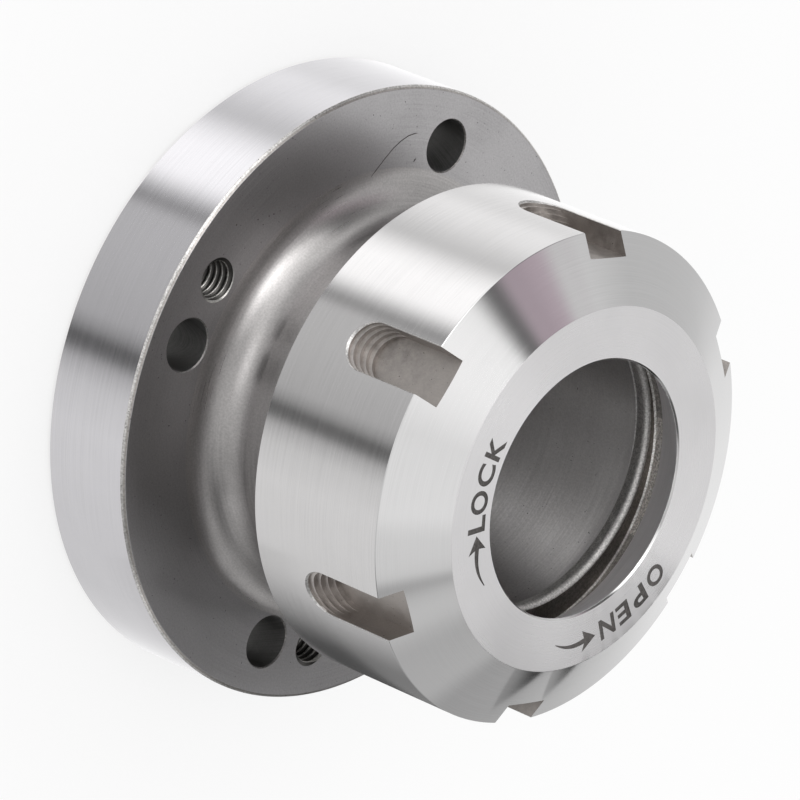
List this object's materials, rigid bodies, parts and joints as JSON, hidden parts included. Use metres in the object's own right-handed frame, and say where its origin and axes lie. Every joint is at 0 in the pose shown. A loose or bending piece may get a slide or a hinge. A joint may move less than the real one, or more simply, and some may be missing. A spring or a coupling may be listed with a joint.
{
  "type": "collet chuck",
  "caption": "Flange-mounted collet chuck: a turned body with a bolt flange, a coved neck and a tapered collet seat, closed by a slotted clamping nut.",
  "frame": {"origin": "centre of the back face of the flange, on the turning axis", "axes": "+Z along the turning axis from the flange to the nut, +X between two plain fixing holes"},
  "size_m": [0.08, 0.08, 0.053],
  "materials": {
    "body_steel": "turned and ground steel, satin on the flange face and bright on the rim",
    "nut_steel": "fine ground bright steel with milled slots"
  },
  "bodies": {
    "chuck": {"chuck_body": "body_steel"},
    "nut": {"clamping_nut": "nut_steel"}
  },
  "joints": [
    {"name": "nut_turn", "type": "hinge", "parent": "chuck", "child": "nut", "pos_m": [0, 0, 0.035], "axis": [0, 0, 1], "range_deg": [-120, 3600]}
  ]
}
